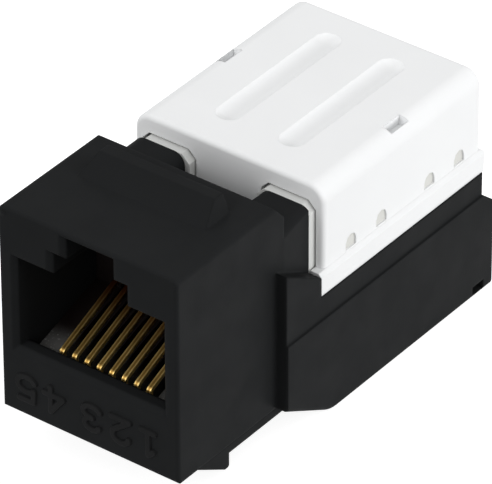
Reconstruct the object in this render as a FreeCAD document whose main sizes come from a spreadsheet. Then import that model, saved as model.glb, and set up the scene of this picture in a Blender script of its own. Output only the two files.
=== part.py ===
import FreeCAD, Part
import os
import re
import Sketcher

# Keystone jack, modelled in millimetres.
# x runs across the jack, y runs back from the mating face, z runs up.
# Every piece is drawn from one datum, the middle of the lower edge of the
# mating face, and then placed so that the box round the jack stands on z = 0.

SIZES = [
    # outline of the socket end
    ("face_half", 7.25, "half width of the socket end"),
    ("face_top", 15.88, "height of the socket end"),
    ("deck_back", 10.22, "rear edge of the top deck"),
    ("deck_bevel_run", 1.05, "length of the bevel behind the deck"),
    ("deck_bevel_drop", 1.17, "height of the bevel behind the deck"),
    ("long_round", 0.35, "rounding of the long edges of the deck"),
    ("face_round", 0.2, "rounding round the mating face"),
    # shoulders and the roof between them
    ("shoulder_back", 14.25, "rear end of the shoulders"),
    ("shoulder_inner", 3.1, "inner side of a shoulder, from the middle"),
    ("shoulder_drop", 2.16, "how far the shoulders lie below the deck"),
    ("shoulder_round", 0.9, "rounding of the shoulder corners"),
    ("shoulder_draft", 0.25, "how far a shoulder draws in towards its rear"),
    ("bridge_drop", 3.68, "how far the roof between the shoulders lies below the deck"),
    ("bridge_wall", 1.2, "thickness of the roof between the shoulders"),
    # plug port
    ("port_half", 5.95, "half width of the plug port"),
    ("port_lip", 5.2, "lower edge of the plug port"),
    ("step_half", 3.0, "half width of the middle step"),
    ("step_high", 1.58, "height of the middle step above the wide part"),
    ("tab_half", 1.9, "half width of the release tab slot"),
    ("tab_high", 1.59, "height of the release tab slot above the middle step"),
    ("tab_wall", 0.61, "wall above the release tab slot"),
    ("port_depth", 9.9, "depth of the stepped port"),
    ("port_lead", 0.35, "lead-in chamfer of the port"),
    ("lip_wall", 1.15, "thickness of the wall below the port"),
    ("well_floor", 1.1, "floor of the room below the contacts"),
    # fixed catch on the deck
    ("ridge_half", 5.2, "half width of the fixed catch at its foot"),
    ("ridge_taper", 0.55, "how far each end of the catch leans in"),
    ("ridge_front", 5.65, "front foot of the catch"),
    ("ridge_crest", 7.3, "front of the crest"),
    ("ridge_back", 8.22, "rear face of the catch"),
    ("ridge_rise", 1.3, "height of the catch above the deck"),
    # spring latch below
    ("latch_half", 6.9, "half width of the spring latch"),
    ("latch_root", 1.7, "start of the latch wedge"),
    ("latch_tip", 5.35, "lowest point of the latch wedge"),
    ("latch_drop", 2.15, "depth of the wedge below the face"),
    ("latch_nose", 0.45, "length of the blunt end of the wedge"),
    ("latch_round", 0.2, "rounding of the lower rear corners of the latch"),
    ("latch_arm_low", 1.05, "underside of the arm below the face"),
    ("latch_arm_high", 0.35, "top of the arm below the face"),
    ("latch_neck", 3.5, "where the arm leaves the body"),
    ("latch_end", 12.6, "free end of the arm"),
    ("latch_room", 0.3, "free room above and behind the arm"),
    ("latch_side_gap", 0.12, "gap beside the arm"),
    # rear tray
    ("tray_half", 8.25, "half width of the lower rear shell"),
    ("tray_front", 10.37, "front of the rear shell"),
    ("ramp_start", 0.05, "height of the front end of the sloping underside"),
    ("ramp_back", 15.2, "rear end of the sloping underside"),
    ("ramp_round", 2.5, "rounding behind the slope"),
    ("base_drop", 2.6, "depth of the rear shell below the face"),
    ("body_depth", 33.72, "overall depth"),
    ("band_step", 0.13, "how far the upper band stands in from the shell"),
    ("rear_step", 1.42, "how far the upper band stands in at the rear"),
    ("crease", 5.3, "height of the crease along the rear shell"),
    ("rear_slope", 1.15, "height of the slope between shell and band"),
    ("rim_top", 7.1, "rim that carries the cap"),
    ("cheek_back", 14.15, "rear end of the cheeks"),
    ("cheek_high", 10.8, "cheek height at its front"),
    ("cheek_low", 8.65, "cheek height at its rear"),
    ("tray_round", 0.3, "rounding of the rear shell"),
    ("rim_wall", 1.3, "thickness of the upper band"),
    ("rear_wall", 1.2, "thickness of the rear wall"),
    ("room_front", 11.2, "front of the room in the tray"),
    ("ledge_wide", 0.75, "width of the board ledges"),
    ("ledge_top", 3.2, "height of the board ledges"),
    ("floor_wall", 1.0, "thickness of the floor of the tray"),
    ("cable_half", 3.3, "half width of the cable way"),
    ("cable_low", 4.2, "lowest point of the cable way"),
    ("cable_high", 12.6, "highest point of the cable way"),
    ("cable_cut", 1.3, "cut corners of the cable way"),
    ("nick_depth", 0.55, "depth of the two nicks at the rear"),
    ("nick_wide", 1.25, "length of a nick"),
    ("nick_high", 0.7, "height of a nick"),
    ("nick_foot", 0.2, "shell left below a nick"),
    ("nick_back", 1.2, "distance of a nick from the rear"),
    # contact carrier and contacts
    ("fit_gap", 0.05, "clearance of fixed pieces"),
    ("carrier_front", 1.95, "front of the contact carrier"),
    ("carrier_low", 1.45, "underside of the contact carrier"),
    ("carrier_edge", 4.2, "height of the carrier at its front"),
    ("carrier_bevel", 0.3, "bevel of the front edge of the carrier"),
    ("carrier_rise", 6.1, "height of the carrier below the comb"),
    ("comb_front", 8.3, "front of the comb wall"),
    ("comb_top", 9.4, "top of the comb wall"),
    ("wall_front", 9.75, "front of the port end wall"),
    ("wall_back", 11.05, "rear of the port end wall"),
    ("groove_width", 0.62, "width of a contact groove"),
    ("groove_depth", 0.7, "depth of a contact groove"),
    ("pitch", 1.02, "spacing of the contacts"),
    ("wire_wide", 0.36, "width of a contact"),
    ("wire_thick", 0.3, "thickness of a contact"),
    ("wire_front", 1.6, "front of the contacts"),
    ("wire_corner", 5.0, "height of the front bend"),
    ("wire_slope", 22.5, "slope of the spring part"),
    ("wire_end", 9.2, "rear end of the spring part"),
    ("wire_low", 1.12, "underside of the contact tails"),
    ("tail_front", 12.6, "front row of tails"),
    ("tail_back", 14.1, "rear row of tails"),
    ("tail_top", 4.85, "top of the tails"),
    # circuit board
    ("board_play", 0.1, "clearance round the board"),
    ("board_start", 0.5, "distance of the board from the front of the room"),
    ("board_thick", 1.2, "thickness of the board"),
    ("hole_gap", 0.12, "clearance round a pin in the board"),
    # wire block
    ("block_play", 0.07, "clearance between wire block and cap"),
    ("block_front", 16.0, "front of the wire block"),
    ("block_low", 5.0, "underside of the wire block"),
    ("block_floor", 7.6, "top of the block floor"),
    ("post_top", 12.7, "top of the posts"),
    ("post_in", 1.2, "reach of a row of posts inwards from its clips"),
    ("post_out", 1.15, "reach of a row of posts outwards from its clips"),
    ("tongue_inner", 2.77, "inner side of a tongue"),
    ("tongue_play", 0.12, "clearance between a tongue and its notch"),
    ("tongue_top", 13.65, "top of a tongue"),
    ("tongue_low", 8.0, "underside of a tongue"),
    ("tongue_bevel", 0.6, "bevel of the tongue corners"),
    ("slot_start", 1.9, "distance of the first wire slot from the front of the block"),
    ("slot_end", 0.95, "distance of the last wire slot from the rear of the block"),
    ("pair_pitch", 3.38, "spacing of the two wires of a pair"),
    ("slot_wide", 1.1, "width of a wire slot"),
    ("slot_low", 8.5, "bottom of a wire slot"),
    # insulation displacement clips
    ("clip_inset", 1.65, "distance of a row of clips from the side of the block"),
    ("clip_thick", 0.5, "thickness of a clip"),
    ("clip_half", 0.75, "half width of a clip"),
    ("clip_low", 5.0, "shoulder of a clip"),
    ("clip_top", 12.2, "top of a clip"),
    ("clip_bevel", 0.25, "height of the bevelled corners of a clip"),
    ("clip_slit", 0.34, "width of the slit"),
    ("clip_slit_low", 8.0, "bottom of the slit"),
    ("clip_mouth", 0.5, "half width of the mouth"),
    ("clip_mouth_low", 11.2, "bottom of the mouth"),
    ("leg_half", 0.33, "half width of a clip leg"),
    ("leg_low", 2.2, "lower end of a clip leg"),
    # cap
    ("cap_step", 0.37, "how far the cap stands in from the upper band"),
    ("cap_front", 14.89, "front face of the cap"),
    ("cap_over", 0.22, "how far the cap reaches past the upper band at the rear"),
    ("cap_top", 15.05, "top of the cap"),
    ("cap_wall", 1.0, "wall of the cap"),
    ("cap_roof", 1.05, "roof of the cap"),
    ("cap_round", 1.25, "rounding of the long top edges"),
    ("cap_corner", 0.35, "rounding of the upright corners"),
    ("hem_out", 0.3, "how far the hem stands out"),
    ("hem_top", 8.75, "top of the hem"),
    ("hem_bevel", 0.28, "bevel of the top of the hem"),
    ("notch_side", 0.64, "wall left beside a front notch"),
    ("flute_line", 2.6, "distance of a flute from the middle"),
    ("flute_bend", 1.4, "radius of the bottom of a flute"),
    ("flute_depth", 0.4, "depth of the flutes"),
    ("flute_start", 3.6, "distance of the full flutes from the front of the cap"),
    ("flute_end", 3.3, "distance of the full flutes from the rear of the cap"),
    ("window_half", 0.95, "half length of the edge windows"),
    ("window_side", 0.55, "distance of the edge windows from the side of the cap"),
    ("window_wide", 0.75, "width of the edge windows"),
    ("window_depth", 0.75, "depth of the edge windows"),
    ("hole_half", 0.56, "half width of a wire hole"),
    ("hole_low", 8.9, "bottom of a wire hole"),
    ("hole_spring", 9.4, "height where the arch of a wire hole starts"),
    ("press_low", 10.6, "underside of the wire pushers"),
    ("press_half", 0.38, "half width of a wire pusher"),
    ("press_wide", 0.55, "size of a wire pusher across the jack"),
    ("press_gap", 0.25, "clearance between a pusher and its clip"),
    # how far pads and cuts run into each other
    ("lap", 0.2, "overlap of neighbouring pads and cuts"),
]

# Places that follow from the sizes above.
PLACES = {
    "bevel_foot": "deck_back + deck_bevel_run",
    "shoulder_top": "face_top - shoulder_drop",
    "bridge_top": "face_top - bridge_drop",
    "tab_top": "face_top - tab_wall",
    "step_top": "tab_top - tab_high",
    "port_top": "step_top - step_high",
    "latch_back": "latch_tip + latch_nose",
    "band_half": "tray_half - band_step",
    "band_back": "body_depth - rear_step",
    "room_half": "band_half - rim_wall",
    "room_back": "band_back - rear_wall",
    "room_floor": "-base_drop + floor_wall",
    "ledge_half": "room_half - ledge_wide",
    "nick_end": "body_depth - nick_back",
    "cap_half": "band_half - cap_step",
    "cap_back": "band_back + cap_over",
    "cap_inside": "cap_half - cap_wall",
    "hem_half": "cap_half + hem_out",
    "hem_back": "cap_back + hem_out",
    "block_half": "cap_inside - block_play",
    "block_back": "room_back - board_play",
    "notch_outer": "cap_half - notch_side",
    "notch_inner": "tongue_inner - tongue_play",
    "notch_top": "tongue_top + tongue_play",
    "tongue_outer": "notch_outer - tongue_play",
    "clip_line": "block_half - clip_inset",
    "slot_one": "block_front + slot_start",
    "slot_two": "slot_one + pair_pitch",
    "slot_four": "block_back - slot_end",
    "slot_three": "slot_four - pair_pitch",
    "window_middle": "(slot_two + slot_three) / 2",
    "flute_front": "cap_front + flute_start",
    "flute_back": "cap_back - flute_end",
}

DOC = FreeCAD.newDocument("keystone_jack")
SHEET = DOC.addObject("Spreadsheet::Sheet", "sizes")
for row, (alias, value, note) in enumerate(SIZES, start=1):
    SHEET.set("A%d" % row, note)
    SHEET.set("B%d" % row, str(value))
    SHEET.setAlias("B%d" % row, alias)
DOC.recompute()

NAMES = {alias for alias, value, note in SIZES}
SLOTS = ["slot_one", "slot_two", "slot_three", "slot_four"]


def link(found):
    """Link for one word of a formula: a size of the sheet, or a place worked out from sizes."""
    word = found.group(0)
    if word in PLACES:
        return "(" + linked(PLACES[word]) + ")"
    return "sizes." + word if word in NAMES else word


def linked(text):
    """Turns the names in a formula into links to the sheet."""
    return re.sub(r"[a-z][a-z_]*[a-z]", link, str(text))


def size(name):
    """Present value of a size or a place."""
    return float(SHEET.evalExpression(linked(name)))


def new_body(name, across="0", back="0"):
    """Body drawn from the common datum and moved to the place of the piece."""
    body = DOC.addObject("PartDesign::Body", name)
    body.Label = name
    body.setExpression("Placement.Base.x", linked(across))
    body.setExpression("Placement.Base.y", linked("(%s) - body_depth / 2" % back))
    body.setExpression("Placement.Base.z", linked("base_drop"))
    return body


def origin_plane(body, role):
    """Origin plane of a body, found by its role."""
    for item in body.Origin.OriginFeatures:
        if item.Role == role:
            return item
    raise ValueError(role)


def outline(body, name, plane, offset, loops):
    """Sketch of closed loops; every corner is tied to formulas of the sheet."""
    sketch = body.newObject("Sketcher::SketchObject", name)
    sketch.AttachmentSupport = [(origin_plane(body, plane + "_Plane"), "")]
    sketch.MapMode = "FlatFace"
    sketch.setExpression("AttachmentOffset.Base.z", linked(offset))
    for loop in loops:
        corners = [[float(sketch.evalExpression(linked(formula))) for formula in pair] for pair in loop]
        first = sketch.GeometryCount
        count = len(corners)
        for i in range(count):
            start = FreeCAD.Vector(corners[i][0], corners[i][1], 0)
            end = FreeCAD.Vector(corners[(i + 1) % count][0], corners[(i + 1) % count][1], 0)
            sketch.addGeometry(Part.LineSegment(start, end), False)
        for i in range(count):
            sketch.addConstraint(Sketcher.Constraint("Coincident", first + i, 2,
                                                     first + (i + 1) % count, 1))
        for i in range(count):
            for kind, value, formula in (("DistanceX", corners[i][0], loop[i][0]),
                                         ("DistanceY", corners[i][1], loop[i][1])):
                number = sketch.addConstraint(Sketcher.Constraint(kind, -1, 1, first + i, 1, value))
                sketch.setExpression("Constraints[%d]" % number, linked(formula))
    return sketch


def box_loop(left, right, low, high):
    """Corners of a rectangle."""
    return [(left, low), (right, low), (right, high), (left, high)]


def both_sides(loop):
    """A loop and its mirror image across the middle of the jack."""
    mirror = [("-(%s)" % across, up) for across, up in reversed(loop)]
    return [loop, mirror]


def prism(body, name, plane, low, high, loops, cut=False):
    """Straight pad or pocket of the loops between two levels of the third axis."""
    start = high if cut != (plane == "XZ") else low
    offset = "-(%s)" % start if plane == "XZ" else start
    sketch = outline(body, name + "_outline", plane, offset, loops)
    before = body.Shape.Volume if body.Tip else 0.0
    feature = body.newObject("PartDesign::Pocket" if cut else "PartDesign::Pad", name)
    feature.Profile = sketch
    feature.setExpression("Length", linked("(%s) - (%s)" % (high, low)))
    DOC.recompute()
    if cut and not body.Shape.Volume < before - 1e-6:
        raise ValueError("%s removes nothing" % name)
    if not cut and not body.Shape.Volume > before + 1e-6:
        raise ValueError("%s adds nothing" % name)
    return feature


def dressed(body, kind, name, amount, test):
    """Fillet or chamfer on the edges of the present shape that pass the test."""
    base = body.Tip
    names = []
    for number, edge in enumerate(base.Shape.Edges, start=1):
        box = edge.BoundBox
        if test(box, edge):
            names.append("Edge%d" % number)
    if not names:
        raise ValueError("%s finds no edge" % name)
    feature = body.newObject("PartDesign::" + kind, name)
    feature.Base = (base, names)
    feature.setExpression("Radius" if kind == "Fillet" else "Size", linked(amount))
    DOC.recompute()
    if feature.State and ("Invalid" in feature.State or "Error" in feature.State):
        raise ValueError("%s fails" % name)
    return feature


def near(value, target, slack=0.02):
    """True when two lengths agree."""
    return abs(value - target) < slack


def flat(low, high):
    """True when an edge has no length along an axis."""
    return high - low < 0.02


# ---------------------------------------------------------------- housing
# One black moulding: socket end with its catches, shoulders and rear tray.
housing = new_body("housing")
prism(housing, "socket_end", "YZ", "-face_half", "face_half",
      [[("0", "0"), ("shoulder_back", "0"), ("shoulder_back", "bridge_top"), ("bevel_foot", "bridge_top"),
        ("bevel_foot", "face_top - deck_bevel_drop"), ("deck_back", "face_top"), ("0", "face_top")]])
prism(housing, "shoulders", "XZ", "bevel_foot - lap", "shoulder_back",
      both_sides(box_loop("shoulder_inner", "face_half", "bridge_top - lap", "shoulder_top")))


def shoulder_edge(box, edge):
    """Top edges of the shoulders that run back."""
    high = near(box.ZMin, size("shoulder_top")) and near(box.ZMax, size("shoulder_top"))
    return high and box.YMax - box.YMin > box.XMax - box.XMin


dressed(housing, "Fillet", "shoulder_rounds", "shoulder_round", shoulder_edge)
prism(housing, "shoulder_drafts", "XY", "rim_top + lap", "shoulder_top",
      both_sides([("face_half", "bevel_foot"), ("face_half", "shoulder_back"),
                  ("face_half - shoulder_draft", "shoulder_back")]), cut=True)


def long_edge(box, edge):
    """Long side edges of the deck."""
    side = flat(box.XMin, box.XMax) and near(abs(box.XMin), size("face_half"))
    return side and near(box.ZMin, size("face_top")) and near(box.ZMax, size("face_top"))


dressed(housing, "Fillet", "long_rounds", "long_round", long_edge)


def face_edge(box, edge):
    """Outer edges of the mating face."""
    return near(box.YMin, 0) and near(box.YMax, 0)


dressed(housing, "Fillet", "face_rounds", "face_round", face_edge)

# lower shell of the tray, with its sloping underside
prism(housing, "lower_shell", "YZ", "-tray_half", "tray_half",
      [[("tray_front", "ramp_start"), ("ramp_back", "-base_drop"), ("body_depth", "-base_drop"),
        ("body_depth", "crease - rear_slope"), ("band_back", "crease"), ("tray_front", "crease")]])


def ramp_edge(box, edge):
    """Edge where the slope meets the flat underside."""
    across = box.XMax - box.XMin > size("tray_half")
    return across and near(box.YMin, size("ramp_back")) and near(box.YMax, size("ramp_back"))


dressed(housing, "Fillet", "ramp_round_back", "ramp_round", ramp_edge)


def shell_edge(box, edge):
    """Upright rear corners, lower side edges and lower and upper rear edges of the shell."""
    back = near(box.YMin, size("body_depth")) and near(box.YMax, size("body_depth"))
    side = flat(box.XMin, box.XMax) and near(abs(box.XMin), size("tray_half"))
    low = near(box.ZMin, -size("base_drop")) and near(box.ZMax, -size("base_drop"))
    return back or (side and low)


dressed(housing, "Fillet", "shell_rounds", "tray_round", shell_edge)

# upper band with the cheeks that close round the socket end
prism(housing, "upper_band", "YZ", "-band_half", "band_half",
      [[("tray_front", "crease - lap"), ("band_back", "crease - lap"), ("band_back", "rim_top"),
        ("cheek_back", "rim_top"), ("cheek_back", "cheek_low"), ("tray_front", "cheek_high")]])
# fixed catch on the deck
prism(housing, "deck_catch", "YZ", "-ridge_half", "ridge_half",
      [[("ridge_front", "face_top - lap"), ("ridge_back", "face_top - lap"),
        ("ridge_back", "face_top + ridge_rise"), ("ridge_crest", "face_top + ridge_rise"),
        ("ridge_front", "face_top")]])
prism(housing, "deck_catch_ends", "XZ", "ridge_front", "ridge_back",
      both_sides([("ridge_half", "face_top"), ("ridge_half", "face_top + ridge_rise"),
                  ("ridge_half - ridge_taper", "face_top + ridge_rise")]), cut=True)

# flexing room and spring latch under the socket end
prism(housing, "latch_room_cut", "YZ", "-(latch_half + latch_side_gap)", "latch_half + latch_side_gap",
      [[("latch_neck", "latch_room"), ("latch_neck", "-latch_arm_low"), ("tray_front", "-base_drop"),
        ("latch_end + latch_room", "-base_drop"), ("latch_end + latch_room", "latch_room")]], cut=True)
prism(housing, "spring_latch", "YZ", "-latch_half", "latch_half",
      [[("latch_root", "lap"), ("latch_root", "0"), ("latch_tip", "-latch_drop"),
        ("latch_back", "-latch_drop"), ("latch_back", "-latch_arm_low"),
        ("latch_end", "-latch_arm_low"), ("latch_end", "-latch_arm_high"),
        ("latch_neck", "-latch_arm_high"), ("latch_neck", "lap")]])


def latch_edge(box, edge):
    """Lower rear corners of the wedge and of the arm."""
    across = box.XMax - box.XMin > size("latch_half") and flat(box.YMin, box.YMax)
    wedge = near(box.YMin, size("latch_back")) and near(box.ZMin, -size("latch_drop"))
    arm = near(box.YMin, size("latch_end")) and near(box.ZMin, -size("latch_arm_low"))
    return across and (wedge or arm)


dressed(housing, "Fillet", "latch_rounds", "latch_round", latch_edge)

# plug port
prism(housing, "plug_port", "XZ", "0", "port_depth",
      [[("-port_half", "port_lip"), ("port_half", "port_lip"), ("port_half", "port_top"),
        ("step_half", "port_top"), ("step_half", "step_top"), ("tab_half", "step_top"),
        ("tab_half", "tab_top"), ("-tab_half", "tab_top"), ("-tab_half", "step_top"),
        ("-step_half", "step_top"), ("-step_half", "port_top"), ("-port_half", "port_top")]], cut=True)


def port_edge(box, edge):
    """Edges of the plug port in the mating face."""
    front = near(box.YMin, 0) and near(box.YMax, 0)
    inside = max(abs(box.XMin), abs(box.XMax)) < size("port_half") + 0.02
    return front and inside and box.ZMin > size("port_lip") - 0.02


dressed(housing, "Chamfer", "port_leads", "port_lead", port_edge)
prism(housing, "contact_room", "XZ", "lip_wall", "wall_back + fit_gap",
      [box_loop("-port_half", "port_half", "well_floor", "port_top")], cut=True)
prism(housing, "tail_room", "XZ", "wall_back", "shoulder_back",
      [box_loop("-port_half", "port_half", "well_floor", "bridge_top - bridge_wall")], cut=True)

# room in the tray, with ledges for the board
prism(housing, "tray_room", "XZ", "room_front", "room_back",
      [box_loop("-room_half", "room_half", "ledge_top", "rim_top")], cut=True)
prism(housing, "tray_well", "XZ", "room_front + floor_wall", "room_back",
      [box_loop("-ledge_half", "ledge_half", "room_floor", "ledge_top")], cut=True)
prism(housing, "cable_way_low", "XZ", "room_back - lap", "body_depth",
      [[("-cable_half", "rim_top"), ("-cable_half", "cable_low + cable_cut"),
        ("-cable_half + cable_cut", "cable_low"), ("cable_half - cable_cut", "cable_low"),
        ("cable_half", "cable_low + cable_cut"), ("cable_half", "rim_top")]], cut=True)
prism(housing, "rear_nicks", "XZ", "nick_end - nick_wide", "nick_end",
      both_sides(box_loop("tray_half - nick_depth", "tray_half", "-base_drop + nick_foot",
                          "-base_drop + nick_foot + nick_high")), cut=True)

# ---------------------------------------------------------------- contact carrier
# Moulding that holds the eight contacts and closes the end of the port.
carrier = new_body("contact_carrier")
prism(carrier, "carrier_block", "YZ", "-(port_half - fit_gap)", "port_half - fit_gap",
      [[("carrier_front", "carrier_low"), ("wall_back", "carrier_low"),
        ("wall_back", "port_top - fit_gap"), ("wall_front", "port_top - fit_gap"),
        ("wall_front", "comb_top"), ("comb_front", "comb_top"), ("comb_front", "carrier_rise"),
        ("carrier_front + carrier_bevel", "carrier_edge"), ("carrier_front", "carrier_edge - carrier_bevel")]])
grooves = []
for i in range(8):
    place = "(%.1f) * pitch" % (i - 3.5)
    grooves.append(box_loop(place + " - groove_width / 2", place + " + groove_width / 2",
                            "carrier_edge - groove_depth", "comb_top"))
comb_cut = prism(carrier, "contact_grooves", "XZ", "carrier_front", "wall_front", grooves, cut=True)

# ---------------------------------------------------------------- contacts
# Bent gold-plated wires: tail through the board, run forward below the
# carrier, turned up at the front and sloping back into the comb.
contacts = []
for i in range(8):
    contact = new_body("contact_%d" % (i + 1), "(%.1f) * pitch" % (i - 3.5))
    tail = "tail_front" if i % 2 else "tail_back"
    prism(contact, "ribbon_%d" % (i + 1), "YZ", "-wire_wide / 2", "wire_wide / 2",
          [[(tail + " + wire_thick", "tail_top"), (tail + " + wire_thick", "wire_low"),
            ("wire_front", "wire_low"), ("wire_front", "wire_corner"),
            ("wire_end", "wire_corner + (wire_end - wire_front) * tan(wire_slope)"),
            ("wire_end + wire_thick * sin(wire_slope)",
             "wire_corner + (wire_end - wire_front) * tan(wire_slope) - wire_thick * cos(wire_slope)"),
            ("wire_front + wire_thick",
             "wire_corner + wire_thick * tan(wire_slope) - wire_thick / cos(wire_slope)"),
            ("wire_front + wire_thick", "wire_low + wire_thick"),
            (tail, "wire_low + wire_thick"), (tail, "tail_top")]])

    def outer_bend(box, edge):
        """Outer corners of the bends."""
        front = near(box.YMin, size("wire_front")) and near(box.YMax, size("wire_front"))
        back = near(box.YMin, size(tail) + size("wire_thick")) and near(box.ZMax, size("wire_low"))
        return box.XMax - box.XMin > 0.2 and flat(box.ZMin, box.ZMax) and (front or back)

    dressed(contact, "Fillet", "outer_bends_%d" % (i + 1), "wire_thick * 1.4", outer_bend)
    contacts.append(contact)

# ---------------------------------------------------------------- circuit board
board = new_body("circuit_board")
prism(board, "board_sheet", "XY", "ledge_top", "ledge_top + board_thick",
      [box_loop("-(room_half - board_play)", "room_half - board_play", "room_front + board_start",
                "room_back - board_play")])
holes = []
for i in range(8):
    place = "(%.1f) * pitch" % (i - 3.5)
    tail = "tail_front" if i % 2 else "tail_back"
    holes.append(box_loop(place + " - wire_wide / 2 - hole_gap", place + " + wire_wide / 2 + hole_gap",
                          tail + " - hole_gap", tail + " + wire_thick + hole_gap"))
for slot in SLOTS:
    holes.extend(both_sides(box_loop("clip_line - clip_thick / 2 - hole_gap",
                                     "clip_line + clip_thick / 2 + hole_gap",
                                     slot + " - leg_half - hole_gap", slot + " + leg_half + hole_gap")))
prism(board, "pin_holes", "XY", "ledge_top", "ledge_top + board_thick", holes, cut=True)

# ---------------------------------------------------------------- wire block
# Moulding with two rows of slotted posts; two tongues reach forward through
# the notches of the cap and meet the shoulders of the housing.
block = new_body("wire_block")
prism(block, "block_floor_slab", "XY", "block_low", "block_floor",
      [box_loop("-block_half", "block_half", "block_front", "block_back")])
prism(block, "post_rows", "XZ", "block_front", "block_back",
      both_sides(box_loop("clip_line - post_in", "clip_line + post_out", "block_floor - lap", "post_top")))


def tongue(outer):
    """Outline of a tongue with its upper corners bevelled."""
    return [("tongue_inner", "tongue_low"), (outer, "tongue_low"), (outer, "tongue_top - tongue_bevel"),
            (outer + " - tongue_bevel", "tongue_top"), ("tongue_inner + tongue_bevel", "tongue_top"),
            ("tongue_inner", "tongue_top - tongue_bevel")]


prism(block, "tongues", "XZ", "shoulder_back + fit_gap", "cap_front + cap_wall - fit_gap",
      both_sides(tongue("tongue_outer")))
prism(block, "tongue_necks", "XZ", "cap_front + cap_wall - fit_gap", "block_front + slot_start / 2",
      both_sides(tongue("block_half")))
prism(block, "wire_slots", "YZ", "-block_half", "block_half",
      [box_loop(slot + " - slot_wide / 2", slot + " + slot_wide / 2", "slot_low", "post_top")
       for slot in SLOTS], cut=True)
seats = []
for slot in SLOTS:
    seats.extend(both_sides(box_loop("clip_line - clip_thick / 2 - fit_gap",
                                     "clip_line + clip_thick / 2 + fit_gap",
                                     slot + " - clip_half - fit_gap", slot + " + clip_half + fit_gap")))
prism(block, "clip_seats", "XY", "block_low", "post_top", seats, cut=True)

# ---------------------------------------------------------------- clips
# Forked blades standing in the wire block, legs through the board.
for i in range(8):
    side = "clip_line" if i < 4 else "-clip_line"
    clip = new_body("idc_clip_%d" % (i + 1), side, SLOTS[i % 4])
    prism(clip, "blade_%d" % (i + 1), "YZ", "-clip_thick / 2", "clip_thick / 2",
          [[("-leg_half", "leg_low"), ("leg_half", "leg_low"), ("leg_half", "clip_low"),
            ("clip_half", "clip_low"), ("clip_half", "clip_top - clip_bevel"),
            ("clip_half - clip_bevel / 2", "clip_top"), ("clip_mouth", "clip_top"),
            ("clip_slit / 2", "clip_mouth_low"), ("clip_slit / 2", "clip_slit_low"),
            ("-clip_slit / 2", "clip_slit_low"), ("-clip_slit / 2", "clip_mouth_low"),
            ("-clip_mouth", "clip_top"), ("-clip_half + clip_bevel / 2", "clip_top"),
            ("-clip_half", "clip_top - clip_bevel"), ("-clip_half", "clip_low"), ("-leg_half", "clip_low")]])

# ---------------------------------------------------------------- cap
# White moulding that presses the wires into the clips; lifts straight off.
cap = new_body("cap")
prism(cap, "cap_shell", "XY", "rim_top", "cap_top",
      [box_loop("-cap_half", "cap_half", "cap_front", "cap_back")])


def cap_long_edge(box, edge):
    """Long top edges of the cap."""
    high = near(box.ZMin, size("cap_top")) and near(box.ZMax, size("cap_top"))
    return high and flat(box.XMin, box.XMax)


dressed(cap, "Fillet", "cap_long_rounds", "cap_round", cap_long_edge)


def cap_upright_edge(box, edge):
    """Upright corners of the cap."""
    return near(abs(box.XMin), size("cap_half")) and flat(box.XMin, box.XMax) and flat(box.YMin, box.YMax)


dressed(cap, "Fillet", "cap_corner_rounds", "cap_corner", cap_upright_edge)
prism(cap, "hem", "XY", "rim_top", "hem_top",
      [box_loop("-hem_half", "hem_half", "cap_front", "hem_back")])
prism(cap, "hem_feet", "XY", "rim_top", "hem_top",
      both_sides(box_loop("notch_outer", "hem_half", "shoulder_back + fit_gap", "cap_front + lap")))


def hem_top_edge(box, edge):
    """Upper edges of the hem at the sides and the rear."""
    high = near(box.ZMin, size("hem_top")) and near(box.ZMax, size("hem_top"))
    side = flat(box.XMin, box.XMax) and near(abs(box.XMin), size("hem_half"))
    return high and (side or near(box.YMin, size("hem_back")))


dressed(cap, "Chamfer", "hem_bevels", "hem_bevel", hem_top_edge)


def hem_edge(box, edge):
    """Upright rear corners of the hem."""
    upright = near(abs(box.XMin), size("hem_half")) and flat(box.XMin, box.XMax)
    return upright and flat(box.YMin, box.YMax) and near(box.YMin, size("hem_back"))


dressed(cap, "Fillet", "hem_corner_rounds", "cap_corner", hem_edge)
prism(cap, "cap_room", "XY", "rim_top", "cap_top - cap_roof",
      [box_loop("-cap_inside", "cap_inside", "cap_front + cap_wall", "cap_back - cap_wall")], cut=True)
prism(cap, "front_notches", "XZ", "cap_front", "cap_front + cap_wall",
      both_sides([("notch_inner", "rim_top"), ("notch_outer", "rim_top"),
                  ("notch_outer", "notch_top - tongue_bevel"), ("notch_outer - tongue_bevel", "notch_top"),
                  ("notch_inner + tongue_bevel", "notch_top"), ("notch_inner", "notch_top - tongue_bevel")]),
      cut=True)


def scoop(kind, name, along):
    """Round-bottomed cut into the top of the cap: the trough of a flute or the ball at its end."""
    cutter = cap.newObject("PartDesign::Subtractive" + kind, name)
    cutter.setExpression("Radius", linked("flute_bend"))
    cutter.setExpression("Placement.Base.x", linked(side + " * flute_line"))
    cutter.setExpression("Placement.Base.y", linked(along))
    cutter.setExpression("Placement.Base.z", linked("cap_top - flute_depth + flute_bend"))
    return cutter


for number, side in ((1, "-1"), (2, "1")):
    trough = scoop("Cylinder", "flute_%d" % number, "flute_front")
    trough.Placement.Rotation = FreeCAD.Rotation(FreeCAD.Vector(1, 0, 0), -90)
    trough.setExpression("Height", linked("flute_back - flute_front"))
    scoop("Sphere", "flute_%d_front" % number, "flute_front")
    scoop("Sphere", "flute_%d_back" % number, "flute_back")
prism(cap, "edge_windows", "XY", "cap_top - window_depth", "cap_top",
      both_sides(box_loop("cap_half - window_side - window_wide", "cap_half - window_side",
                          "window_middle - window_half", "window_middle + window_half")), cut=True)
arches = []
for slot in SLOTS:
    arches.append([(slot + " - hole_half", "hole_low"), (slot + " + hole_half", "hole_low"),
                   (slot + " + hole_half", "hole_spring"),
                   (slot + " + hole_half * 0.707", "hole_spring + hole_half * 0.707"),
                   (slot, "hole_spring + hole_half"),
                   (slot + " - hole_half * 0.707", "hole_spring + hole_half * 0.707"),
                   (slot + " - hole_half", "hole_spring")])
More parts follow.
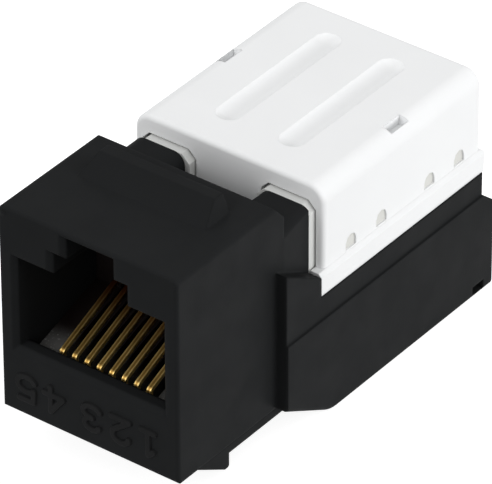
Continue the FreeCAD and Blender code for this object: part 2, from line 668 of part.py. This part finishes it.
prism(cap, "wire_holes", "YZ", "-hem_half", "hem_half", arches, cut=True)
prism(cap, "cable_way_high", "XZ", "cap_back - cap_wall - lap", "hem_back",
      [[("-cable_half", "rim_top"), ("cable_half", "rim_top"), ("cable_half", "cable_high - cable_cut"),
        ("cable_half - cable_cut", "cable_high"), ("-cable_half + cable_cut", "cable_high"),
        ("-cable_half", "cable_high - cable_cut")]], cut=True)
pushers = []
for slot in SLOTS:
    for line in ("clip_line - clip_thick / 2 - press_gap - press_wide",
                 "clip_line + clip_thick / 2 + press_gap"):
        pushers.extend(both_sides(box_loop(line, line + " + press_wide", slot + " - press_half",
                                           slot + " + press_half")))
prism(cap, "wire_pushers", "XY", "press_low", "cap_top - cap_roof + lap", pushers)

# ---------------------------------------------------------------- export
DOC.recompute()
os.makedirs("parts", exist_ok=True)
for body in [item for item in DOC.Objects if item.TypeId == "PartDesign::Body"]:
    for item in [body] + list(body.Group):
        if "Invalid" in item.State or "Error" in item.State:
            raise ValueError("%s of %s is not sound" % (item.Name, body.Label))
    if body.Shape.isNull() or not body.Shape.isValid() or len(body.Shape.Solids) != 1:
        raise ValueError("%s is not one sound solid" % body.Label)
    body.Shape.exportStep("parts/%s.step" % body.Label)
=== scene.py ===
import math
import bpy
import numpy as np
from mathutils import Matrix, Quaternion, Vector


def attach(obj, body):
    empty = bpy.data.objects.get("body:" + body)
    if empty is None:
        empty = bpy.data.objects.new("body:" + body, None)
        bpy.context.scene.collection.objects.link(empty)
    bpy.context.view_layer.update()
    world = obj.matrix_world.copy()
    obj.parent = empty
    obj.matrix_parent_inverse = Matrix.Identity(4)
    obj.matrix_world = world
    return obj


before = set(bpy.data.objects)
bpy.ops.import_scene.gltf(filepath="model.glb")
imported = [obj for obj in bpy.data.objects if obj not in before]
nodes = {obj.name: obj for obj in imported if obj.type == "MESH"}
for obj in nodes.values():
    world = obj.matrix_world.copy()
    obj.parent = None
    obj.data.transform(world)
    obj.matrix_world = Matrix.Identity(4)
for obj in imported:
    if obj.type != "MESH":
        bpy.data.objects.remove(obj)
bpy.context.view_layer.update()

# Housing: one injection moulding of black plastic, with the socket end, both
# panel catches and the rear tray. Its mould has a light spark-eroded texture,
# so the faces are satin with a fine grain, and the edges a little round.
BLACK_DARK = (0.0129, 0.0135, 0.0139)
BLACK_LIGHT = (0.0158, 0.0167, 0.0174)
TINT_CLOUDS = 260.0
DULL_CLOUDS = 420.0
GRAIN_CLOSE = 7000.0
GRAIN_DEPTH = 0.00003
EDGE_SAMPLES = 6
FRONT_FLAT = 0.00001


def corners(node):
    """Corner points of a node's mesh, one row each."""
    flat = np.empty(3 * len(nodes[node].data.vertices), dtype=np.float32)
    nodes[node].data.vertices.foreach_get("co", flat)
    return flat.reshape(-1, 3).astype(float)


def feed(tree, value, socket):
    """Joins an output to a socket, or sets the socket to a number or a colour."""
    if isinstance(value, bpy.types.NodeSocket):
        tree.links.new(value, socket)
    elif isinstance(value, tuple):
        socket.default_value = (*value, 1.0)
    else:
        socket.default_value = value


def object_place(tree):
    """Output with the place on the piece, in metres."""
    return tree.nodes.new("ShaderNodeTexCoord").outputs["Object"]


def noise(tree, scale, detail, roughness=0.5, place=None):
    """Noise output with scale in cycles per metre."""
    cloud = tree.nodes.new("ShaderNodeTexNoise")
    feed(tree, scale, cloud.inputs["Scale"])
    cloud.inputs["Detail"].default_value = detail
    cloud.inputs["Roughness"].default_value = roughness
    tree.links.new(place or object_place(tree), cloud.inputs["Vector"])
    return cloud.outputs["Fac"]


def stretch(tree, value, source, target=(0.0, 1.0), kind="LINEAR"):
    """Output that runs over the target while the value runs over the source, and stops at both ends."""
    run = tree.nodes.new("ShaderNodeMapRange")
    run.interpolation_type = kind
    tree.links.new(value, run.inputs["Value"])
    for name, limit in zip(("From Min", "From Max", "To Min", "To Max"), (*source, *target)):
        feed(tree, limit, run.inputs[name])
    return run.outputs["Result"]


def blend(tree, share, first, second):
    """Colour output: first at share 0, second at share 1."""
    mix = tree.nodes.new("ShaderNodeMix")
    mix.data_type = "RGBA"
    tree.links.new(share, mix.inputs[0])
    feed(tree, first, mix.inputs[6])
    feed(tree, second, mix.inputs[7])
    return mix.outputs[2]


def worked_surface(tree, edge, height, strength, depth):
    """Normal output: edges that seem round to a radius in metres, with a height pattern over them."""
    soft = tree.nodes.new("ShaderNodeBevel")
    soft.samples = EDGE_SAMPLES
    soft.inputs["Radius"].default_value = edge
    relief = tree.nodes.new("ShaderNodeBump")
    relief.inputs["Strength"].default_value = strength
    relief.inputs["Distance"].default_value = depth
    tree.links.new(height, relief.inputs["Height"])
    tree.links.new(soft.outputs["Normal"], relief.inputs["Normal"])
    return relief.outputs["Normal"]


def moulded_grain():
    """Node group: height is a close grain, and roughness clouds slowly between Low and High."""
    group = bpy.data.node_groups.new("moulded_grain", "ShaderNodeTree")
    for way, names in (("INPUT", ("Size", "Low", "High")), ("OUTPUT", ("Height", "Roughness"))):
        for name in names:
            group.interface.new_socket(name, in_out=way, socket_type="NodeSocketFloat")
    inside, outside = group.nodes.new("NodeGroupInput"), group.nodes.new("NodeGroupOutput")
    close = noise(group, inside.outputs["Size"], detail=2.0, roughness=0.6)
    slow = noise(group, DULL_CLOUDS, detail=3.0)
    dull = stretch(group, slow, (0.35, 0.65), (inside.outputs["Low"], inside.outputs["High"]))
    group.links.new(close, outside.inputs["Height"])
    group.links.new(dull, outside.inputs["Roughness"])
    return group


def blank(name):
    """New material with its node tree and its shader."""
    finish = bpy.data.materials.new(name)
    finish.use_nodes = True
    return finish, finish.node_tree, finish.node_tree.nodes["Principled BSDF"]


def moulded(name, dark, light, low, high, bump, edge, size=GRAIN_CLOSE, specular=0.5):
    """Plastic: colour clouds between dark and light, roughness between low and high.

    size is the grain in cycles per metre, bump its strength, and edge the
    radius that the edges seem to have.
    """
    finish, tree, shader = blank(name)
    grain = tree.nodes.new("ShaderNodeGroup")
    grain.node_tree = bpy.data.node_groups.get("moulded_grain") or moulded_grain()
    for label, value in (("Size", size), ("Low", low), ("High", high)):
        grain.inputs[label].default_value = value
    tint = blend(tree, noise(tree, TINT_CLOUDS, detail=4.0), dark, light)
    tree.links.new(tint, shader.inputs["Base Color"])
    tree.links.new(grain.outputs["Roughness"], shader.inputs["Roughness"])
    normal = worked_surface(tree, edge, grain.outputs["Height"], bump, GRAIN_DEPTH)
    tree.links.new(normal, shader.inputs["Normal"])
    shader.inputs["Specular IOR Level"].default_value = specular
    return finish


def dress(node, finish):
    """Gives a node its one material."""
    nodes[node].data.materials.clear()
    nodes[node].data.materials.append(finish)


dress("housing", moulded("housing_satin_black", BLACK_DARK, BLACK_LIGHT, low=0.42, high=0.55,
                         bump=0.22, edge=0.00028, specular=0.02))
shell = corners("housing")
FRONT = shell[:, 1].min()
LOWER_EDGE = shell[shell[:, 1] < FRONT + FRONT_FLAT, 2].min()

# Mould numbers: plain raised figures, three and two, low on the mating face, where they stand upside
# down. They are cut into the mould of the housing, with sloping sides that leave the mould easily, and
# are coloured darker than the housing around them.
NUMBER_DARK = (0.0066, 0.0068, 0.0070)
NUMBER_LIGHT = (0.0084, 0.0087, 0.0091)
FIGURE_HIGH = 0.00185
FIGURE_FOOT = 0.00305
FIGURE_PLACES = {1: 0.0049, 2: 0.0026, 3: 0.00025, 4: -0.0029, 5: -0.00515}
STROKE_TOP = 0.00017
STROKE_SLOPE = 0.00011
STROKE_RISE = 0.00015
FIGURE_SINK = 0.00002
FIGURE_ROOT = 0.00008
FIGURE_GRID = 0.00003
BOW_POINTS = 40


def line(start, end):
    """Centre line p = start + (end - start) t of a straight stroke, t in 0..1."""
    return np.array([start, end])


def bow(middle, radii, start, end):
    """Centre line p = middle + (rx cos a, ry sin a) of a bent stroke, a in degrees."""
    a = np.radians(np.linspace(start, end, BOW_POINTS))
    return np.array(middle) + np.stack([radii[0] * np.cos(a), radii[1] * np.sin(a)], axis=1)


# Strokes of the figures, in heights of the figure, with the foot at 0.
FIGURES = {
    1: [line((-0.2, 0.8), (0.04, 1.0)), line((0.04, 1.0), (0.04, 0.0)), line((-0.24, 0.0), (0.32, 0.0))],
    2: [bow((0.0, 0.7), (0.36, 0.3), 165.0, -40.0), line((0.276, 0.507), (-0.38, 0.0)),
        line((-0.38, 0.0), (0.4, 0.0))],
    3: [bow((0.0, 0.75), (0.33, 0.25), 155.0, -90.0), bow((0.0, 0.25), (0.38, 0.25), 90.0, -155.0)],
    4: [line((0.14, 1.0), (-0.4, 0.3)), line((-0.4, 0.3), (0.42, 0.3)), line((0.14, 1.0), (0.14, 0.0))],
    5: [line((0.34, 1.0), (-0.28, 1.0)), line((-0.28, 1.0), (-0.306, 0.53)),
        bow((0.0, 0.32), (0.4, 0.32), 140.0, -150.0)],
}


def stroke_distance(points, path):
    """Least distance |p - a - t (b - a)|, t in 0..1, to the pieces a-b of a centre line."""
    start, run = path[:-1], path[1:] - path[:-1]
    offset = points[:, None, :] - start[None, :, :]
    share = np.clip((offset * run).sum(axis=2) / (run * run).sum(axis=1), 0.0, 1.0)
    return np.linalg.norm(offset - share[:, :, None] * run, axis=2).min(axis=1)


def figure_relief(strokes):
    """Height over the face h(u, v) = rise s(t) - sink (1 - s(t)), s(t) = t t (3 - 2 t).

    t falls from 1 to 0 over the slope beside the flat top of the nearest
    stroke. Cells far from every stroke are left out, and a flat root inside
    the wall and a rim close the rest. Returns points (across, up, out) and faces.
    """
    foot = STROKE_TOP + STROKE_SLOPE
    margin = foot + 2.0 * FIGURE_GRID
    reach = np.concatenate(strokes)
    low, high = reach.min(axis=0) - margin, reach.max(axis=0) + margin
    across = np.arange(low[0], high[0], FIGURE_GRID)
    up = np.arange(low[1], high[1], FIGURE_GRID)
    grid = np.stack(np.meshgrid(across, up, indexing="ij"), axis=-1).reshape(-1, 2)
    count = len(grid)
    away = np.min([stroke_distance(grid, stroke) for stroke in strokes], axis=0)
    t = np.clip((foot - away) / STROKE_SLOPE, 0.0, 1.0)
    share = t * t * (3.0 - 2.0 * t)
    out = STROKE_RISE * share - FIGURE_SINK * (1.0 - share)
    points = np.concatenate([np.column_stack([grid, out]),
                             np.column_stack([grid, np.full(count, -FIGURE_ROOT)])])
    cell = np.arange(count).reshape(len(across), len(up))
    cells = np.stack([cell[:-1, :-1], cell[1:, :-1], cell[1:, 1:], cell[:-1, 1:]], axis=-1).reshape(-1, 4)
    tops = cells[away[cells].min(axis=1) < foot]
    first, second = np.concatenate([tops[:, [k, (k + 1) % 4]] for k in range(4)]).T
    outer = ~np.isin(first * count + second, second * count + first)
    first, second = first[outer], second[outer]
    rim = np.column_stack([second, first, first + count, second + count])
    return points, np.concatenate([tops, tops[:, ::-1] + count, rim])


def mould_numbers():
    """All the figures in one mesh, turned by 180 degrees about the line of sight."""
    points, faces = [], []
    for figure, strokes in FIGURES.items():
        own, own_faces = figure_relief([stroke * FIGURE_HIGH for stroke in strokes])
        faces.append(own_faces + sum(map(len, points)))
        points.append(np.column_stack([FIGURE_PLACES[figure] - own[:, 0], FRONT - own[:, 2],
                                       LOWER_EDGE + FIGURE_FOOT - own[:, 1]]))
    faces = np.concatenate(faces)
    used, again = np.unique(faces, return_inverse=True)
    mesh = bpy.data.meshes.new("mould_numbers")
    mesh.from_pydata(np.concatenate(points)[used].tolist(), [], again.reshape(faces.shape).tolist())
    mesh.shade_smooth()
    return mesh


def placed(name, mesh, finish):
    """Object at the origin, of one mesh and one material."""
    mesh.materials.append(finish)
    made = bpy.data.objects.new(name, mesh)
    bpy.context.scene.collection.objects.link(made)
    return made


numbers = placed("mould_numbers", mould_numbers(),
                 moulded("number_deep_black", NUMBER_DARK, NUMBER_LIGHT, low=0.42, high=0.55,
                         bump=0.22, edge=0.00002, specular=0.06))
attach(numbers, "jack")

# Contact carrier: dark moulding that sits low in the port and holds the contacts in its grooves. Plugs
# have rubbed it grey and mottled; deeper in the port it darkens to near black, which is painted shade for
# the inside of the port.
CARRIER_DARK = (0.05, 0.05, 0.048)
CARRIER_RUBBED = (0.17, 0.168, 0.163)
CARRIER_SPECK = (0.34, 0.34, 0.33)
# Colour of the painted shade deep in the port, and the depths over which it fades in.
CARRIER_PAINTED_SHADE = (0.0055, 0.0024, 0.002)
CARRIER_SHADE_DEPTHS = (0.00226, 0.00446)
GRAIN_COARSE = 3200.0
SPECK_CLOSE = 5200.0
SPECK_RANGE = (0.6, 0.72)


def along(tree, axis):
    """Output of one coordinate on the piece, in metres."""
    parts = tree.nodes.new("ShaderNodeSeparateXYZ")
    tree.links.new(object_place(tree), parts.inputs["Vector"])
    return parts.outputs[axis]


def painted_port_shade(tree, colour, fade, shade_colour):
    """Colour output that turns to a painted shade colour between two depths behind the mating face,
    standing in for the shade inside the port.
    """
    share = stretch(tree, along(tree, "Y"), (FRONT + fade[0], FRONT + fade[1]), kind="SMOOTHSTEP")
    return blend(tree, share, colour, shade_colour)


def scuffed_and_shaded(name):
    """Moulded plastic with sparse pale specks, and painted shade behind the mouth of the port."""
    finish = moulded(name, CARRIER_DARK, CARRIER_RUBBED, low=0.5, high=0.7, bump=1.0, edge=0.00005,
                     size=GRAIN_COARSE, specular=0.25)
    tree = finish.node_tree
    base = tree.nodes["Principled BSDF"].inputs["Base Color"]
    sparse = stretch(tree, noise(tree, SPECK_CLOSE, detail=3.0), SPECK_RANGE)
    spotted = blend(tree, sparse, base.links[0].from_socket, CARRIER_SPECK)
    tree.links.new(painted_port_shade(tree, spotted, CARRIER_SHADE_DEPTHS, CARRIER_PAINTED_SHADE), base)
    return finish


dress("contact_carrier", scuffed_and_shaded("carrier_scuffed_grey_painted_shade"))

# Contacts: eight spring wires of phosphor bronze, drawn, bent and gold plated, with a darker colour along
# the middle line of each. Deeper in the port the gold turns to a dark reddish brown, which is painted
# shade for the inside of the port. Their tails are soldered to the board.
GOLD_DARK = (0.84, 0.54, 0.14)
GOLD_LIGHT = (1.0, 0.77, 0.32)
# Reddish painted shade that the gold turns to deep in the port.
GOLD_PAINTED_SHADE = (0.22, 0.055, 0.012)
GOLD_MIDDLE_LINE = (0.46, 0.26, 0.06)
CONTACT_COUNT = 8
CONTACT_PITCH = 0.00102
CONTACT_CROWN = 0.00012
CONTACT_CROWN_FLAT = 0.000042
# Depths behind the mating face over which that painted shade fades in.
CONTACT_SHADE_DEPTHS = (0.00406, 0.00746)
PLATE_CLOUDS = 900.0
PLATE_EDGE = 0.00006
ROUGH_SPREAD = 0.07
DRAWN_LINES = (9000.0, 500.0, 500.0)
DRAWN_BUMP = 0.2
DRAWN_DEPTH = 0.00001


def crown_share(tree):
    """0 along the middle lines of wires that stand a pitch apart, 1 from the crown's side outwards."""
    value = along(tree, "X")
    for operation, number in (("DIVIDE", CONTACT_PITCH), ("FRACT", 0.0), ("SUBTRACT", 0.5),
                              ("ABSOLUTE", 0.0), ("MULTIPLY", CONTACT_PITCH)):
        step = tree.nodes.new("ShaderNodeMath")
        step.operation = operation
        step.inputs[1].default_value = number
        tree.links.new(value, step.inputs[0])
        value = step.outputs["Value"]
    return stretch(tree, value, (CONTACT_CROWN_FLAT, CONTACT_CROWN), kind="SMOOTHSTEP")


def plated(name, dark, light, rough, shade_colour, middle_line):
    """Metal: colour clouds between dark and light, darker along the wires' middle lines, and painted
    shade far back in the port.
    """
    finish, tree, shader = blank(name)
    shader.inputs["Metallic"].default_value = 1.0
    cloud = noise(tree, PLATE_CLOUDS, detail=3.0)
    drawn = tree.nodes.new("ShaderNodeMapping")
    drawn.inputs["Scale"].default_value = DRAWN_LINES
    tree.links.new(object_place(tree), drawn.inputs["Vector"])
    lines = noise(tree, 1.0, detail=2.0, place=drawn.outputs["Vector"])
    plate = blend(tree, crown_share(tree), middle_line, blend(tree, cloud, dark, light))
    tree.links.new(painted_port_shade(tree, plate, CONTACT_SHADE_DEPTHS, shade_colour), shader.inputs["Base Color"])
    dull = stretch(tree, cloud, (0.0, 1.0), (rough - ROUGH_SPREAD, rough + ROUGH_SPREAD))
    tree.links.new(dull, shader.inputs["Roughness"])
    normal = worked_surface(tree, PLATE_EDGE, lines, DRAWN_BUMP, DRAWN_DEPTH)
    tree.links.new(normal, shader.inputs["Normal"])
    return finish


gold = plated("contact_gold_plate", GOLD_DARK, GOLD_LIGHT, 0.42, GOLD_PAINTED_SHADE, GOLD_MIDDLE_LINE)
for number in range(1, CONTACT_COUNT + 1):
    dress("contact_%d" % number, gold)

# Circuit board: glass cloth and resin under green lacquer. It lies on the
# ledges of the tray and joins the contacts to the wire clips.
LACQUER_DARK = (0.012, 0.09, 0.035)
LACQUER_LIGHT = (0.02, 0.13, 0.05)
dress("circuit_board", moulded("board_green_lacquer", LACQUER_DARK, LACQUER_LIGHT, low=0.2, high=0.35,
                               bump=0.15, edge=0.00003))

# Wire block: white moulding with two rows of slotted posts, which guide the
# wires into the clips, and two tongues in front. It stands in the tray.
BLOCK_DARK = (0.64, 0.645, 0.63)
BLOCK_LIGHT = (0.69, 0.695, 0.68)
dress("wire_block", moulded("block_satin_white", BLOCK_DARK, BLOCK_LIGHT, low=0.4, high=0.55,
                            bump=0.15, edge=0.0001))

# Wire clips: eight forks stamped from sheet metal and tinned, which cut through
# a wire's sleeve. They sit in the posts, with their legs through the board.
CLIP_COUNT = 8
TIN_DARK = (0.6, 0.59, 0.56)
TIN_LIGHT = (0.72, 0.71, 0.69)
tin = plated("clip_tin_plate", TIN_DARK, TIN_LIGHT, 0.35, TIN_DARK, TIN_DARK)
for number in range(1, CLIP_COUNT + 1):
    dress("idc_clip_%d" % number, tin)

# Cap: satin white moulding, pressed down over the wire block by hand. It holds
# the wires in their clips and lifts straight off.
CAP_DARK = (0.815, 0.822, 0.827)
CAP_LIGHT = (0.85, 0.857, 0.862)
dress("cap", moulded("cap_satin_white", CAP_DARK, CAP_LIGHT, low=0.42, high=0.55,
                     bump=0.12, edge=0.0001, specular=0.2))

# Wire hole skins: thin webs that close the arched wire holes of the cap until a wire is pushed through.
# They are moulded with the cap, of the same white plastic, and lie a little below its face. Their colour
# is a darker grey-white than the cap's, painted shade for the inside of the holes.
SKIN_SHADED_DARK = (0.62, 0.62, 0.59)
SKIN_SHADED_LIGHT = (0.66, 0.66, 0.63)
HOLE_PLACES = (0.0179, 0.02128, 0.02667, 0.03005)
HOLE_HALF = 0.00058
HOLE_FOOT = 0.01148
HOLE_SPRING = 0.012
HOLE_POINTS = 25
SKIN_DEPTH = 0.00013
SKIN_THICK = 0.00025


def hole_skins():
    """Closed arched plates at two depths below the side of the cap.

    The outline is y = place + half cos a, z = spring + half sin a for a in
    0..180 degrees, and runs straight down from there to the foot of the hole.
    """
    cap = corners("cap")
    side = cap[cap[:, 2] > HOLE_SPRING, 0].max()
    a = np.radians(np.linspace(0.0, 180.0, HOLE_POINTS))
    arch = np.column_stack([HOLE_HALF * np.cos(a), HOLE_SPRING + HOLE_HALF * np.sin(a)])
    outline = np.concatenate([[(-HOLE_HALF, HOLE_FOOT), (HOLE_HALF, HOLE_FOOT)], arch])
    count = len(outline)
    following = (np.arange(count) + 1) % count
    points, faces = [], []
    for hand in (-1.0, 1.0):
        for place in HOLE_PLACES:
            outer = sum(map(len, points)) + np.arange(count)
            inner = outer + count
            for depth in (SKIN_DEPTH, SKIN_DEPTH + SKIN_THICK):
                points.append(np.column_stack([np.full(count, hand * (side - depth)),
                                               FRONT + place + outline[:, 0], outline[:, 1]]))
            rim = np.column_stack([outer, inner, inner[following], outer[following]])
            own = [outer.tolist(), inner[::-1].tolist()] + rim.tolist()
            faces += own if hand > 0.0 else [face[::-1] for face in own]
    mesh = bpy.data.meshes.new("hole_skins")
    mesh.from_pydata(np.concatenate(points).tolist(), [], faces)
    return mesh


skins = placed("hole_skins", hole_skins(),
               moulded("skin_white_painted_shade", SKIN_SHADED_DARK, SKIN_SHADED_LIGHT, low=0.4, high=0.55,
                       bump=0.12, edge=0.00004))
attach(skins, "cap")

# Floor: sheet of paper, grey in front and pale towards the back, so that little
# light comes up to the mating face. It glows to the camera and in reflections
# alone, so that it stays white and keeps the jack's soft shadow.
FLOOR_HALF = 1.2
FLOOR_GAP = 0.00002
FLOOR_SHADE_FROM = (-0.03, 0.0)
FLOOR_SHADE = (0.1, 0.62)
FLOOR_GLOW = 0.84


def glowing_paper(name):
    """Dull grey shaded from front to back, plus a plain glow for camera, glossy and transmitted rays."""
    finish, tree, shader = blank(name)
    shade = stretch(tree, along(tree, "Y"), FLOOR_SHADE_FROM, FLOOR_SHADE)
    tree.links.new(shade, shader.inputs["Base Color"])
    shader.inputs["Roughness"].default_value = 0.9
    shader.inputs["Specular IOR Level"].default_value = 0.0
    ray = tree.nodes.new("ShaderNodeLightPath")
    level = ray.outputs["Is Camera Ray"]
    for operation, value in (("MAXIMUM", ray.outputs["Is Glossy Ray"]),
                             ("MAXIMUM", ray.outputs["Is Transmission Ray"]), ("MULTIPLY", FLOOR_GLOW)):
        step = tree.nodes.new("ShaderNodeMath")
        step.operation = operation
        tree.links.new(level, step.inputs[0])
        feed(tree, value, step.inputs[1])
        level = step.outputs["Value"]
    glow = tree.nodes.new("ShaderNodeEmission")
    glow.inputs["Color"].default_value = (1.0, 1.0, 1.0, 1.0)
    tree.links.new(level, glow.inputs["Strength"])
    both = tree.nodes.new("ShaderNodeAddShader")
    tree.links.new(shader.outputs["BSDF"], both.inputs[0])
    tree.links.new(glow.outputs["Emission"], both.inputs[1])
    tree.links.new(both.outputs["Shader"], tree.nodes["Material Output"].inputs["Surface"])
    return finish


sheet_mesh = bpy.data.meshes.new("floor")
sheet_mesh.from_pydata([(-FLOOR_HALF, -FLOOR_HALF, 0.0), (FLOOR_HALF, -FLOOR_HALF, 0.0),
                        (FLOOR_HALF, FLOOR_HALF, 0.0), (-FLOOR_HALF, FLOOR_HALF, 0.0)],
                       [], [(0, 1, 2, 3)])
floor = placed("floor", sheet_mesh, glowing_paper("floor_paper"))
floor.location.z = -FLOOR_GAP

# Studio: an even white room gives most of the light. A broad lamp stands on
# the right, a faint one hangs above, and one stands in front.
ROOM_LIGHT = 0.78
JACK_MIDDLE = Vector((0.0, 0.0, 0.009))
scene = bpy.context.scene
room = bpy.data.worlds.new("studio")
room.use_nodes = True
sky = room.node_tree.nodes["Background"]
sky.inputs["Color"].default_value = (1.0, 1.0, 1.0, 1.0)
sky.inputs["Strength"].default_value = ROOM_LIGHT
scene.world = room


def softbox(name, direction, distance, width, power):
    """Square area lamp in a direction from the middle of the jack, facing it."""
    lamp = bpy.data.lights.new(name, "AREA")
    lamp.size = width
    lamp.energy = power
    holder = bpy.data.objects.new(name, lamp)
    scene.collection.objects.link(holder)
    away = Vector(direction).normalized()
    holder.location = JACK_MIDDLE + away * distance
    holder.rotation_euler = away.to_track_quat("Z", "Y").to_euler()


softbox("side_lamp", (1.0, 0.15, 0.12), distance=0.6, width=0.35, power=2.3)
softbox("top_lamp", (0.0, 0.35, 1.0), distance=0.6, width=0.45, power=0.05)
softbox("front_lamp", (-0.25, -1.0, 0.6), distance=0.8, width=0.4, power=2.0)

# Camera: a long lens, which keeps parallel edges nearly parallel, looks down
# on the right front corner of the jack.
CAMERA_TURN = math.radians(37.173)
CAMERA_LIFT = math.radians(34.785)
CAMERA_ROLL = math.radians(-0.149)
CAMERA_AIM = Vector((0.003223, -0.004338, 0.012983))
CAMERA_DISTANCE = 0.400594
eye = bpy.data.cameras.new("camera")
eye.sensor_width = 36.0
eye.lens = 450.9
eye.clip_start = 0.01
camera = bpy.data.objects.new("camera", eye)
scene.collection.objects.link(camera)
back = Vector((math.sin(CAMERA_TURN) * math.cos(CAMERA_LIFT),
               -math.cos(CAMERA_TURN) * math.cos(CAMERA_LIFT), math.sin(CAMERA_LIFT)))
camera.location = CAMERA_AIM + back * CAMERA_DISTANCE
upright = back.to_track_quat("Z", "Y")
camera.rotation_euler = (upright @ Quaternion((0.0, 0.0, 1.0), CAMERA_ROLL)).to_euler()
scene.camera = camera
scene.view_settings.view_transform = "Standard"
